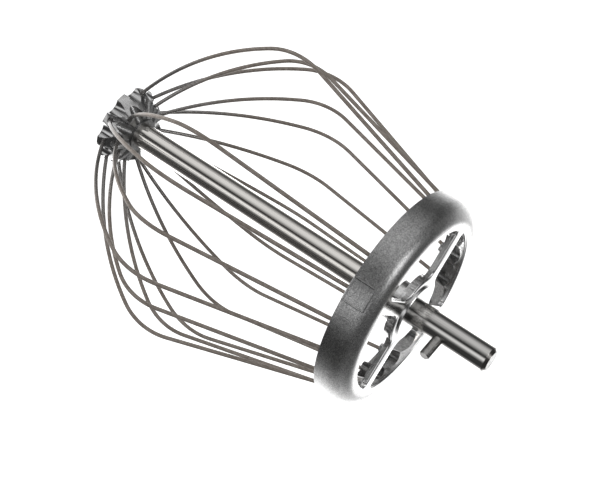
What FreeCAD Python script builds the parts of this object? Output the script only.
import FreeCAD, Part
import math
import os
import Sketcher
from FreeCAD import Placement, Rotation, Vector

# Balloon whisk for a 30-litre-class planetary mixer, in millimetres.
# The Z axis is the shaft's axis, +Z runs towards the mixer and Z = 0 is the foot of the bottom hub.
# Eighteen spring-steel wires stand on a 20-place circle: one outer and one inner wire share a
# 36 degree pitch, and one such pair of places is left blank.

NODE_DIR = "parts"
os.makedirs(NODE_DIR, exist_ok=True)
doc = FreeCAD.newDocument("balloon_whisk")

# ---------------------------------------------------------------- driving dimensions
SIZES = {
    # drive shaft and its pin
    "shaft_dia": 20.0,
    "shaft_foot_z": 12.0,
    "shank_length": 66.0,
    "shaft_chamfer": 2.5,
    "pin_dia": 8.0,
    "pin_reach": 26.0,
    "pin_depth": 6.0,
    "pin_rise": 27.0,
    "pin_angle": 142.6,
    "pin_chamfer": 0.8,
    # ring casting
    "ring_dia": 170.0,
    "ring_rim_z": 264.0,
    "ring_height": 24.0,
    "ring_shoulder": 13.0,
    "ring_lip": 7.0,
    "ring_band": 19.0,
    "rim_band": 12.0,
    "skirt_wall": 4.0,
    "shoulder_wall": 9.0,
    "pocket_spring": 18.0,
    "pocket_low_top": 12.0,
    "arch_radius": 19.0,
    "cusp_width": 0.35,
    "boss_dia": 7.0,
    "boss_inset": 7.5,
    "arm_width": 12.0,
    "arm_height": 4.5,
    "arm_root": 3.0,
    "web_dia": 54.0,
    "web_height": 7.0,
    "flare_round": 9.0,
    "root_round": 4.0,
    "window_round": 1.2,
    "collar_dia": 42.0,
    "collar_rise": 1.5,
    "collar_edge": 0.4,
    "socket_dia": 34.0,
    "socket_depth": 15.0,
    "retainer_dia": 4.0,
    "retainer_rise": 13.0,
    "retainer_recess": 0.5,
    # bottom hub casting
    "hub_dia": 65.0,
    "hub_under_z": 5.0,
    "hub_under_rise": 3.0,
    "hub_edge_z": 10.7,
    "hub_top_z": 25.4,
    "hub_top_dia": 47.6,
    "hub_boss_dia": 27.0,
    "hub_boss_top_z": 26.8,
    "hub_foot_dia": 30.0,
    "scallop_dia": 13.0,
    "scallop_circle": 68.0,
    "valley_dia": 9.0,
    "valley_tilt": 24.0,
    "valley_drop": 1.0,
    # hub screw and washer
    "screw_dia": 8.0,
    "screw_length": 22.0,
    "screw_head_dia": 13.0,
    "screw_head_height": 5.0,
    "thread_depth": 20.0,
    "key_size": 6.0,
    "key_depth": 3.0,
    "washer_dia": 16.0,
    "washer_thick": 1.5,
    # wires
    "wire_dia": 3.0,
    "wire_inset": 5.1,
    "wire_in_hub": 7.0,
    "wire_in_ring": 11.0,
    "first_place": 90.0,
    "outer_foot_z": 13.2,
    "outer_foot_tilt": 31.4,
    "outer_belly_radius": 224.6,
    "outer_shoulder_radius": 57.9,
    "outer_rim_lean": 18.1,
    "inner_foot_z": 23.4,
    "inner_foot_tilt": 29.2,
    "inner_belly_radius": 222.7,
    "inner_shoulder_radius": 52.8,
    "inner_rim_lean": 15.0,
    # fits
    "slip": 0.05,
    "head_gap": 0.25,
}

sheet = doc.addObject("Spreadsheet::Sheet", "Sizes")
for row, (alias, amount) in enumerate(SIZES.items(), start=1):
    sheet.set(f"A{row}", alias)
    sheet.set(f"B{row}", str(amount))
    sheet.setAlias(f"B{row}", alias)
doc.recompute()


def size(alias):
    return float(getattr(sheet, alias))


# ---------------------------------------------------------------- shared expressions
RIM = "Sizes.ring_rim_z"
RING_TOP = "(Sizes.ring_rim_z + Sizes.ring_height)"
RING_RADIUS = "(Sizes.ring_dia / 2)"
OPENING_RADIUS = f"({RING_RADIUS} - Sizes.ring_band)"
SHAFT_TOP = f"({RING_TOP} + Sizes.shank_length)"
PIN_Z = f"({RING_TOP} + Sizes.pin_rise)"
RETAINER_Z = f"({RIM} + Sizes.retainer_rise)"
BORE = "(Sizes.wire_dia / 2 + Sizes.slip)"
HUB_SLOPE = "((Sizes.hub_dia - Sizes.hub_top_dia) / 2 / (Sizes.hub_top_z - Sizes.hub_edge_z))"
SCREW_SEAT = "(Sizes.screw_head_height + Sizes.head_gap)"

PLACES = 20
PITCH = 360 / PLACES
TIERS = ("outer", "inner")
WIRES_PER_TIER = PLACES // 2 - 1
TIER_TURN = {"outer": 0.0, "inner": -PITCH}


def foot_radius(tier):
    """Where the hub's cone carries the wire of that tier, from the axis."""
    return f"(Sizes.hub_dia / 2 - (Sizes.{tier}_foot_z - Sizes.hub_edge_z) * {HUB_SLOPE})"


def end_radius(tier):
    """Where the wire of that tier stops inside the ring, from the axis."""
    return f"({RING_RADIUS} - Sizes.wire_inset - Sizes.wire_in_ring * tan(Sizes.{tier}_rim_lean * 1 deg))"


def end_height():
    return "(Sizes.ring_rim_z + Sizes.wire_in_ring)"


def value(expression):
    """The present value of an expression in the sheet's aliases."""
    return float(sheet.evalExpression(expression))


# ---------------------------------------------------------------- modelling steps
def new_body(name):
    item = doc.addObject("PartDesign::Body", name)
    item.Label = name
    return item


def origin_of(item, role):
    return next(part for part in item.Origin.OriginFeatures if part.Role == role)


def turn_about_z(item, expression):
    item.Placement = Placement(Vector(0, 0, 0), Rotation(Vector(0, 0, 1), 1))
    item.setExpression("Placement.Rotation.Angle", expression)


def new_sketch(item, role, name, turn=0.0, height=None):
    """A sketch on one of the body's origin planes, turned about Z or lifted along it."""
    sketch = item.newObject("Sketcher::SketchObject", name)
    sketch.AttachmentSupport = (origin_of(item, role), [""])
    sketch.MapMode = "FlatFace"
    if turn:
        sketch.AttachmentOffset = Placement(Vector(0, 0, 0), Rotation(Vector(0, 1, 0), turn))
    if height:
        sketch.setExpression("AttachmentOffset.Base.z", height)
    return sketch


def fix_point(sketch, geometry, end, x, y):
    """Hold one end of a line or arc at two expressions."""
    for kind, axis, text in (("DistanceX", -2, x), ("DistanceY", -1, y)):
        if text == "0":
            sketch.addConstraint(Sketcher.Constraint("PointOnObject", geometry, end, axis))
            continue
        index = sketch.addConstraint(Sketcher.Constraint(kind, -1, 1, geometry, end, value(text)))
        sketch.setExpression(f"Constraints[{index}]", text)


def draw_outline(sketch, corners):
    """A closed outline through corners, each a pair of expressions."""
    points = [Vector(value(x), value(y), 0) for x, y in corners]
    for index, start in enumerate(points):
        sketch.addGeometry(Part.LineSegment(start, points[(index + 1) % len(points)]))
    for index, (x, y) in enumerate(corners):
        following = (index + 1) % len(points)
        sketch.addConstraint(Sketcher.Constraint("Coincident", index, 2, following, 1))
        fix_point(sketch, index, 1, x, y)


def draw_circle(sketch, diameter, x="0", y="0"):
    centre = Vector(value(x), value(y), 0)
    radius = value(diameter) / 2
    index = sketch.addGeometry(Part.Circle(centre, Vector(0, 0, 1), radius))
    fix_point(sketch, index, 3, x, y)
    size_index = sketch.addConstraint(Sketcher.Constraint("Diameter", index, value(diameter)))
    sketch.setExpression(f"Constraints[{size_index}]", diameter)


def revolve(item, sketch, name, cut=False, axis="V_Axis"):
    kind = "PartDesign::Groove" if cut else "PartDesign::Revolution"
    feature = item.newObject(kind, name)
    feature.Profile = sketch
    feature.ReferenceAxis = (sketch, [axis])
    feature.Angle = 360
    return feature


def pad(item, sketch, name, length, down=False):
    feature = item.newObject("PartDesign::Pad", name)
    feature.Profile = sketch
    feature.Reversed = down
    feature.setExpression("Length", length)
    return feature


def pocket(item, sketch, name, length, up=False):
    """Cuts against the sketch's normal, or along it when up is set."""
    feature = item.newObject("PartDesign::Pocket", name)
    feature.Profile = sketch
    feature.Reversed = up
    feature.setExpression("Length", length)
    return feature


def polar_pattern(item, feature, name, count, span=360.0):
    pattern = item.newObject("PartDesign::PolarPattern", name)
    pattern.Originals = [feature]
    pattern.Axis = (origin_of(item, "Z_Axis"), [""])
    pattern.Angle = span
    pattern.Occurrences = count
    item.Tip = pattern
    return pattern


def dress_edges(item, kind, name, amount, wanted):
    """A fillet or chamfer on every edge of the tip that the test picks."""
    doc.recompute()
    base = item.Tip
    picked = [f"Edge{n}" for n, edge in enumerate(base.Shape.Edges, start=1) if wanted(edge)]
    feature = item.newObject(f"PartDesign::{kind}", name)
    feature.Base = (base, picked)
    feature.setExpression("Radius" if kind == "Fillet" else "Size", amount)
    return feature


def is_circle_at(edge, radius, height):
    """True for a round edge about the Z axis with that radius and height."""
    if not isinstance(edge.Curve, Part.Circle):
        return False
    centre = edge.Curve.Center
    on_axis = math.hypot(centre.x, centre.y) < 0.01
    return on_axis and abs(edge.Curve.Radius - radius) < 0.01 and abs(centre.z - height) < 0.01


def draw_bore(sketch, start_x, start_z, lean, length, radius):
    """Half the section of a tilted bore, with its centre line as a construction line."""
    along = (f"cos({lean} * 1 deg)", f"sin({lean} * 1 deg)")
    far_x = f"({start_x} + {length} * {along[0]})"
    far_z = f"({start_z} + {length} * {along[1]})"
    corners = [
        (start_x, start_z),
        (far_x, far_z),
        (f"({far_x} + {radius} * {along[1]})", f"({far_z} - {radius} * {along[0]})"),
        (f"({start_x} + {radius} * {along[1]})", f"({start_z} - {radius} * {along[0]})"),
    ]
    draw_outline(sketch, corners)
    centre_line = sketch.addGeometry(Part.LineSegment(
        Vector(value(start_x), value(start_z), 0), Vector(value(far_x), value(far_z), 0)))
    sketch.setConstruction(centre_line, True)
    sketch.addConstraint(Sketcher.Constraint("Coincident", centre_line, 1, 0, 1))
    sketch.addConstraint(Sketcher.Constraint("Coincident", centre_line, 2, 0, 2))


# ---------------------------------------------------------------- drive shaft and its pin
def make_drive_shaft():
    """One ground bar from the hub's socket to the mixer's socket; its X axis faces the pin."""
    item = new_body("drive_shaft")
    bar = new_sketch(item, "XY_Plane", "bar_section", height="Sizes.shaft_foot_z")
    draw_circle(bar, "Sizes.shaft_dia")
    pad(item, bar, "bar", f"{SHAFT_TOP} - Sizes.shaft_foot_z")
    radius = size("shaft_dia") / 2
    ends = (size("shaft_foot_z"), value(SHAFT_TOP))
    dress_edges(item, "Chamfer", "end_chamfers", "Sizes.shaft_chamfer",
                lambda edge: any(is_circle_at(edge, radius, z) for z in ends))
    thread = new_sketch(item, "XY_Plane", "thread_section", height="Sizes.shaft_foot_z")
    draw_circle(thread, "Sizes.screw_dia + 2 * Sizes.slip")
    pocket(item, thread, "thread_bore", "Sizes.thread_depth", up=True)
    socket = new_sketch(item, "YZ_Plane", "pin_section")
    draw_circle(socket, "Sizes.pin_dia", y=PIN_Z)
    socket.setExpression("AttachmentOffset.Base.z", "-Sizes.pin_depth")
    pocket(item, socket, "pin_bore", "Sizes.pin_depth + Sizes.shaft_dia / 2", up=True)
    cross = new_sketch(item, "YZ_Plane", "retainer_section", turn=1.0)
    cross.setExpression("AttachmentOffset.Rotation.Angle", "Sizes.first_place - Sizes.pin_angle")
    cross.setExpression("AttachmentOffset.Base.x",
                        "-Sizes.shaft_dia * sin((Sizes.first_place - Sizes.pin_angle) * 1 deg)")
    cross.setExpression("AttachmentOffset.Base.z",
                        "-Sizes.shaft_dia * cos((Sizes.first_place - Sizes.pin_angle) * 1 deg)")
    draw_circle(cross, "Sizes.retainer_dia", y=RETAINER_Z)
    pocket(item, cross, "retainer_bore", "2 * Sizes.shaft_dia", up=True)
    turn_about_z(item, "Sizes.pin_angle")
    return item


def make_drive_pin():
    """The one-sided pin that the mixer's bayonet slot catches, pressed into the shaft."""
    item = new_body("drive_pin")
    section = new_sketch(item, "YZ_Plane", "pin_section")
    draw_circle(section, "Sizes.pin_dia", y=PIN_Z)
    section.setExpression("AttachmentOffset.Base.z", "-Sizes.pin_depth")
    pad(item, section, "pin", "Sizes.pin_depth + Sizes.pin_reach")
    dress_edges(item, "Chamfer", "end_chamfer", "Sizes.pin_chamfer",
                lambda edge: abs(edge.BoundBox.XMin - size("pin_reach")) < 0.01)
    turn_about_z(item, "Sizes.pin_angle")
    return item


# ---------------------------------------------------------------- ring casting
def make_ring_casting():
    """Skirt, rounded shoulder, arched pockets, four arms, web and shaft socket."""
    item = new_body("ring_casting")
    section = new_sketch(item, "XZ_Plane", "skirt_section")
    draw_outline(section, [
        (f"{RING_RADIUS} - Sizes.rim_band", RIM),
        (RING_RADIUS, RIM),
        (RING_RADIUS, RING_TOP),
        (OPENING_RADIUS, RING_TOP),
        (OPENING_RADIUS, f"{RING_TOP} - Sizes.ring_lip"),
    ])
    revolve(item, section, "skirt")
    dress_edges(item, "Fillet", "shoulder", "Sizes.ring_shoulder",
                lambda edge: is_circle_at(edge, value(RING_RADIUS), value(RING_TOP)))
    make_pockets(item)
    make_arms(item)
    make_shaft_socket(item)
    for tier in TIERS:
        bore = new_sketch(item, "XZ_Plane", f"{tier}_bore_section", turn=TIER_TURN[tier])
        below = "(Sizes.wire_in_ring * 1.5)"
        lean = f"Sizes.{tier}_rim_lean"
        draw_bore(bore, end_radius(tier), end_height(), f"({lean} - 90)",
                  f"({below} / cos({lean} * 1 deg))", BORE)
        groove = revolve(item, bore, f"{tier}_bore", cut=True, axis="Axis0")
        polar_pattern(item, groove, f"{tier}_bores", WIRES_PER_TIER,
                      (WIRES_PER_TIER - 1) * 2 * PITCH)
    turn_about_z(item, "Sizes.first_place")
    return item


def make_pockets(item):
    """Arched pockets between the wires, deeper near the rim, and a round boss for each wire."""
    half_pitch = f"({PITCH / 2} * 1 deg)"
    half = f"({OPENING_RADIUS} * sin{half_pitch} - Sizes.cusp_width / 2)"
    spring = f"({RIM} + Sizes.pocket_spring)"
    mouth = f"({RIM} - Sizes.pocket_spring)"
    arched = new_sketch(item, "YZ_Plane", "pocket_section", turn=PITCH / 2)
    draw_arched_outline(arched, half, mouth, spring, "Sizes.arch_radius")
    cut = pocket(item, arched, "pocket", f"{RING_RADIUS} - Sizes.shoulder_wall", up=True)
    polar_pattern(item, cut, "pockets", PLACES)

    low = new_sketch(item, "YZ_Plane", "low_pocket_section", turn=PITCH / 2)
    low_top = f"({RIM} + Sizes.pocket_low_top)"
    draw_outline(low, [(f"-{half}", mouth), (half, mouth), (half, low_top), (f"-{half}", low_top)])
    cut = pocket(item, low, "low_pocket", f"{RING_RADIUS} - Sizes.skirt_wall", up=True)
    polar_pattern(item, cut, "low_pockets", PLACES)

    boss = new_sketch(item, "XY_Plane", "boss_outline", height=RIM)
    draw_circle(boss, "Sizes.boss_dia", f"{RING_RADIUS} - Sizes.boss_inset")
    post = pad(item, boss, "boss", "Sizes.pocket_spring")
    polar_pattern(item, post, "bosses", PLACES)


def draw_arched_outline(sketch, half, bottom, spring, arch_radius):
    """An upright slot that stands from bottom to spring, under a shallow arch."""
    x, low, high, radius = value(half), value(bottom), value(spring), value(arch_radius)
    centre_drop = math.sqrt(radius ** 2 - x ** 2)
    springing = math.atan2(centre_drop, x)
    corners = [Vector(-x, high, 0), Vector(-x, low, 0), Vector(x, low, 0), Vector(x, high, 0)]
    for start, finish in zip(corners, corners[1:]):
        sketch.addGeometry(Part.LineSegment(start, finish))
    circle = Part.Circle(Vector(0, high - centre_drop, 0), Vector(0, 0, 1), radius)
    arch = sketch.addGeometry(Part.ArcOfCircle(circle, springing, math.pi - springing))
    for line, height in ((0, spring), (1, bottom)):
        fix_point(sketch, line, 1, f"-{half}", height)
    for end, height in ((1, bottom), (2, spring)):
        fix_point(sketch, 2, end, half, height)
    for first, second in ((0, 1), (1, 2), (2, arch)):
        sketch.addConstraint(Sketcher.Constraint("Coincident", first, 2, second, 1))
    sketch.addConstraint(Sketcher.Constraint("Coincident", 0, 1, arch, 2))
    index = sketch.addConstraint(Sketcher.Constraint("Radius", arch, radius))
    sketch.setExpression(f"Constraints[{index}]", arch_radius)


def make_arms(item):
    """Two crossed bars and a round web, flush with the ring's top face."""
    reach = f"({OPENING_RADIUS} + Sizes.arm_root)"
    half = "(Sizes.arm_width / 2)"
    for name, along_x in (("arms_along_x", True), ("arms_along_y", False)):
        bars = new_sketch(item, "XY_Plane", f"{name}_outline", height=RING_TOP)
        x, y = (reach, half) if along_x else (half, reach)
        draw_outline(bars, [(f"-{x}", f"-{y}"), (x, f"-{y}"), (x, y), (f"-{x}", y)])
        pad(item, bars, name, "Sizes.arm_height", down=True)
    web = new_sketch(item, "XY_Plane", "web_outline", height=RING_TOP)
    draw_circle(web, "Sizes.web_dia")
    pad(item, web, "web", "Sizes.web_height", down=True)
    top = value(RING_TOP)
    corner = size("arm_width") / 2

    def meets(edge, radius):
        box = edge.BoundBox
        upright = box.XLength < 0.01 and box.YLength < 0.01 and box.ZMax > top - 0.01
        beside = abs(min(abs(box.XMin), abs(box.YMin)) - corner) < 0.01
        return upright and beside and abs(math.hypot(box.XMin, box.YMin) - radius) < 0.01

    dress_edges(item, "Fillet", "arm_flares", "Sizes.flare_round",
                lambda edge: meets(edge, size("web_dia") / 2))
    dress_edges(item, "Fillet", "arm_roots", "Sizes.root_round",
                lambda edge: meets(edge, value(OPENING_RADIUS)))

    def rims_a_window(edge):
        box = edge.BoundBox
        middle = edge.valueAt((edge.FirstParameter + edge.LastParameter) / 2)
        reach = math.hypot(middle.x, middle.y)
        return box.ZMin > top - 0.01 and box.ZMax < top + 0.01 and reach < value(OPENING_RADIUS) + 0.01

    dress_edges(item, "Fillet", "window_rims", "Sizes.window_round", rims_a_window)


def make_shaft_socket(item):
    """Collar above the web, sleeve below it, the shaft's bore and the retainer's cross bore."""
    sleeve = new_sketch(item, "XY_Plane", "sleeve_outline", height=RING_TOP)
    draw_circle(sleeve, "Sizes.socket_dia")
    pad(item, sleeve, "sleeve", "Sizes.socket_depth", down=True)
    collar = new_sketch(item, "XY_Plane", "collar_outline", height=RING_TOP)
    draw_circle(collar, "Sizes.collar_dia")
    pad(item, collar, "collar", "Sizes.collar_rise")
    collar_top = value(RING_TOP) + size("collar_rise")
    dress_edges(item, "Chamfer", "collar_edge", "Sizes.collar_edge",
                lambda edge: is_circle_at(edge, size("collar_dia") / 2, collar_top))
    bore = new_sketch(item, "XY_Plane", "shaft_bore_outline", height=RIM)
    draw_circle(bore, "Sizes.shaft_dia + 2 * Sizes.slip")
    pocket(item, bore, "shaft_bore", "2 * Sizes.ring_height", up=True)
    cross = new_sketch(item, "YZ_Plane", "retainer_section")
    draw_circle(cross, "Sizes.retainer_dia", y=RETAINER_Z)
    cross.setExpression("AttachmentOffset.Base.z", "-Sizes.socket_dia")
    pocket(item, cross, "retainer_bore", "2 * Sizes.socket_dia", up=True)


def make_ring_retainer():
    """Spring pin through the ring's sleeve and the shaft."""
    item = new_body("ring_retainer_pin")
    section = new_sketch(item, "YZ_Plane", "pin_section")
    draw_circle(section, "Sizes.retainer_dia", y=RETAINER_Z)
    section.setExpression("AttachmentOffset.Base.z", "Sizes.retainer_recess - Sizes.socket_dia / 2")
    pad(item, section, "pin", "Sizes.socket_dia - 2 * Sizes.retainer_recess")
    turn_about_z(item, "Sizes.first_place")
    return item


# ---------------------------------------------------------------- bottom hub casting
def make_hub_casting():
    """A cone whose lower row of lobes holds the outer wires and upper row the inner ones."""
    item = new_body("hub_casting")
    section = new_sketch(item, "XZ_Plane", "hub_section")
    draw_outline(section, [
        ("0", "0"),
        ("Sizes.hub_foot_dia / 2", "0"),
        ("Sizes.hub_foot_dia / 2", "Sizes.hub_under_z"),
        ("Sizes.hub_dia / 2", "Sizes.hub_under_z + Sizes.hub_under_rise"),
        ("Sizes.hub_dia / 2", "Sizes.hub_edge_z"),
        ("Sizes.hub_top_dia / 2", "Sizes.hub_top_z"),
        ("Sizes.hub_boss_dia / 2", "Sizes.hub_top_z"),
        ("Sizes.hub_boss_dia / 2", "Sizes.hub_boss_top_z"),
        ("0", "Sizes.hub_boss_top_z"),
    ])
    revolve(item, section, "cone")
    scallop = new_sketch(item, "XY_Plane", "scallop_outline")
    draw_circle(scallop, "Sizes.scallop_dia",
                f"Sizes.scallop_circle / 2 * cos({PITCH} deg)",
                f"Sizes.scallop_circle / 2 * sin({PITCH} deg)")
    cut = pocket(item, scallop, "scallop", "Sizes.hub_boss_top_z", up=True)
    polar_pattern(item, cut, "scallops", PLACES // 2)
    make_valleys(item)
    make_hub_bores(item)
    turn_about_z(item, "Sizes.first_place")
    return item


def make_valleys(item):
    """Round-bottomed valleys that fall outwards from the boss, above the outer wires."""
    section = new_sketch(item, "XZ_Plane", "valley_section")
    lift = "(Sizes.valley_dia / 2)"
    tilt = "Sizes.valley_tilt * 1 deg"
    start_x = f"(Sizes.hub_boss_dia / 2 + {lift} * sin({tilt}))"
    start_z = f"(Sizes.hub_top_z - Sizes.valley_drop + {lift} * cos({tilt}))"
    draw_bore(section, start_x, start_z, "(-Sizes.valley_tilt)", "(Sizes.hub_dia / 2)", lift)
    groove = revolve(item, section, "valley", cut=True, axis="Axis0")
    polar_pattern(item, groove, "valleys", PLACES // 2)


def make_hub_bores(item):
    """The shaft's socket, the screw's hole and seat, and a blind bore for each wire."""
    socket = new_sketch(item, "XY_Plane", "socket_outline", height="Sizes.shaft_foot_z")
    draw_circle(socket, "Sizes.shaft_dia + 2 * Sizes.slip")
    pocket(item, socket, "shaft_socket", "Sizes.hub_boss_top_z", up=True)
    hole = new_sketch(item, "XY_Plane", "screw_hole_outline")
    draw_circle(hole, "Sizes.screw_dia + 2 * Sizes.slip")
    pocket(item, hole, "screw_hole", "Sizes.hub_boss_top_z", up=True)
    seat = new_sketch(item, "XY_Plane", "screw_seat_outline")
    draw_circle(seat, "Sizes.washer_dia + 2 * Sizes.head_gap")
    pocket(item, seat, "screw_seat", f"{SCREW_SEAT} + Sizes.washer_thick", up=True)
    for tier in TIERS:
        bore = new_sketch(item, "XZ_Plane", f"{tier}_bore_section", turn=TIER_TURN[tier])
        tilt = f"Sizes.{tier}_foot_tilt"
        start_x = f"({foot_radius(tier)} - Sizes.wire_in_hub * cos({tilt} * 1 deg))"
        start_z = f"(Sizes.{tier}_foot_z - Sizes.wire_in_hub * sin({tilt} * 1 deg))"
        draw_bore(bore, start_x, start_z, tilt, "(Sizes.wire_in_hub * 1.5)", BORE)
        groove = revolve(item, bore, f"{tier}_bore", cut=True, axis="Axis0")
        polar_pattern(item, groove, f"{tier}_bores", WIRES_PER_TIER,
                      (WIRES_PER_TIER - 1) * 2 * PITCH)


def make_hub_screw():
    """Socket-head screw that draws the hub up against the shaft's foot."""
    item = new_body("hub_screw")
    head = new_sketch(item, "XY_Plane", "head_outline", height="Sizes.head_gap")
    draw_circle(head, "Sizes.screw_head_dia")
    pad(item, head, "head", "Sizes.screw_head_height")
    shank = new_sketch(item, "XY_Plane", "shank_outline", height="Sizes.head_gap")
    draw_circle(shank, "Sizes.screw_dia")
    pad(item, shank, "shank", "Sizes.screw_head_height + Sizes.screw_length")
    key = new_sketch(item, "XY_Plane", "key_outline", height="Sizes.head_gap")
    corner = "(Sizes.key_size / 2 / cos(30 deg))"
    draw_outline(key, [(f"{corner} * cos({60 * n} deg)", f"{corner} * sin({60 * n} deg)")
                       for n in range(6)])
    pocket(item, key, "key", "Sizes.key_depth", up=True)
    return item


def make_hub_washer():
    item = new_body("hub_washer")
    ring = new_sketch(item, "XY_Plane", "washer_outline", height=SCREW_SEAT)
    draw_circle(ring, "Sizes.washer_dia")
    draw_circle(ring, "Sizes.screw_dia + 2 * Sizes.slip")
    pad(item, ring, "washer", "Sizes.washer_thick")
    return item


# ---------------------------------------------------------------- wires
def draw_wire_path(sketch, tier):
    """Straight foot in the hub, belly arc, shoulder arc and straight leg up into the ring."""
    tilt = math.radians(size(f"{tier}_foot_tilt"))
    lean = math.radians(size(f"{tier}_rim_lean"))
    belly = size(f"{tier}_belly_radius")
    shoulder = size(f"{tier}_shoulder_radius")
    foot = Vector(value(foot_radius(tier)), size(f"{tier}_foot_z"), 0)
    end = Vector(value(end_radius(tier)), value(end_height()), 0)
    heading = Vector(math.cos(tilt), math.sin(tilt), 0)
    inside = foot - heading * size("wire_in_hub")
    belly_centre = foot + Vector(-heading.y, heading.x, 0) * belly
    leg = Vector(-math.sin(lean), math.cos(lean), 0)
    inward = Vector(-leg.y, leg.x, 0)
    # The shoulder's centre lies one radius inside the leg and the radii's difference
    # from the belly's centre.
    start = end + inward * shoulder - belly_centre
    along = start.dot(leg)
    reach = belly - shoulder
    slide = -along - math.sqrt(along * along - start.dot(start) + reach * reach)
    shoulder_centre = belly_centre + start + leg * slide
    outward = (shoulder_centre - belly_centre) / reach
    bend = belly_centre + outward * belly
    leg_start = shoulder_centre - inward * shoulder
    angles = [math.atan2(p.y, p.x) for p in (foot - belly_centre, outward, leg_start - shoulder_centre)]
    axis = Vector(0, 0, 1)
    sketch.addGeometry(Part.LineSegment(inside, foot))
    sketch.addGeometry(Part.ArcOfCircle(Part.Circle(belly_centre, axis, belly), angles[0], angles[1]))
    sketch.addGeometry(
        Part.ArcOfCircle(Part.Circle(shoulder_centre, axis, shoulder), angles[1], angles[2]))
    sketch.addGeometry(Part.LineSegment(leg_start, end))
    fix_point(sketch, 0, 2, foot_radius(tier), f"Sizes.{tier}_foot_z")
    fix_point(sketch, 3, 2, end_radius(tier), end_height())
    for first, second in ((0, 1), (1, 2), (2, 3)):
        sketch.addConstraint(Sketcher.Constraint("Tangent", first, 2, second, 1))
    limits = (
        ("Distance", (0,), "Sizes.wire_in_hub", size("wire_in_hub")),
        ("Radius", (1,), f"Sizes.{tier}_belly_radius", belly),
        ("Radius", (2,), f"Sizes.{tier}_shoulder_radius", shoulder),
        ("Angle", (0,), f"Sizes.{tier}_foot_tilt * 1 deg", tilt),
        ("Angle", (3,), f"(90 + Sizes.{tier}_rim_lean) * 1 deg", math.pi / 2 + lean),
    )
    for kind, geometry, text, amount in limits:
        index = sketch.addConstraint(Sketcher.Constraint(kind, *geometry, amount))
        sketch.setExpression(f"Constraints[{index}]", text)


def make_wire(number, tier, step):
    """One spring-steel wire; step counts the 36 degree pitches from the first place."""
    item = new_body(f"wire_{number:02d}_{tier}")
    path = new_sketch(item, "XZ_Plane", "wire_path")
    draw_wire_path(path, tier)
    section = item.newObject("Sketcher::SketchObject", "wire_section")
    section.AttachmentSupport = (origin_of(item, "YZ_Plane"), [""])
    section.MapMode = "FlatFace"
    section.AttachmentOffset = Placement(Vector(0, 1, 1), Rotation(Vector(-1, 0, 0), 30))
    tilt = f"Sizes.{tier}_foot_tilt * 1 deg"
    section.setExpression("AttachmentOffset.Base.y",
                          f"Sizes.{tier}_foot_z - Sizes.wire_in_hub * sin({tilt})")
    section.setExpression("AttachmentOffset.Base.z",
                          f"{foot_radius(tier)} - Sizes.wire_in_hub * cos({tilt})")
    section.setExpression("AttachmentOffset.Rotation.Angle", tilt)
    draw_circle(section, "Sizes.wire_dia")
    pipe = item.newObject("PartDesign::AdditivePipe", "wire")
    pipe.Profile = section
    pipe.Spine = path
    turn_about_z(item, f"Sizes.first_place + {TIER_TURN[tier] + 2 * PITCH * step}")
    return item


# ---------------------------------------------------------------- the assembly
nodes = [
    make_drive_shaft(),
    make_drive_pin(),
    make_ring_casting(),
    make_ring_retainer(),
    make_hub_casting(),
    make_hub_screw(),
    make_hub_washer(),
]
for step in range(WIRES_PER_TIER):
    for offset, tier in enumerate(reversed(TIERS), start=1):
        nodes.append(make_wire(2 * step + offset, tier, step))

doc.recompute()
for thing in doc.Objects:
    if {"Invalid", "Error"} & set(thing.State):
        raise RuntimeError(f"{thing.Label} in {[p.Label for p in thing.InList]}: {thing.State}")
for node in nodes:
    if node.Shape.isNull() or not node.Shape.isValid() or len(node.Shape.Solids) != 1:
        raise RuntimeError(f"{node.Label} has no single valid solid")
    node.Shape.exportStep(f"{NODE_DIR}/{node.Label}.step")
    box = node.Shape.optimalBoundingBox(False)
    print(f"{node.Label}: volume {node.Shape.Volume:.0f} mm3, Z {box.ZMin:.2f} to {box.ZMax:.2f}")
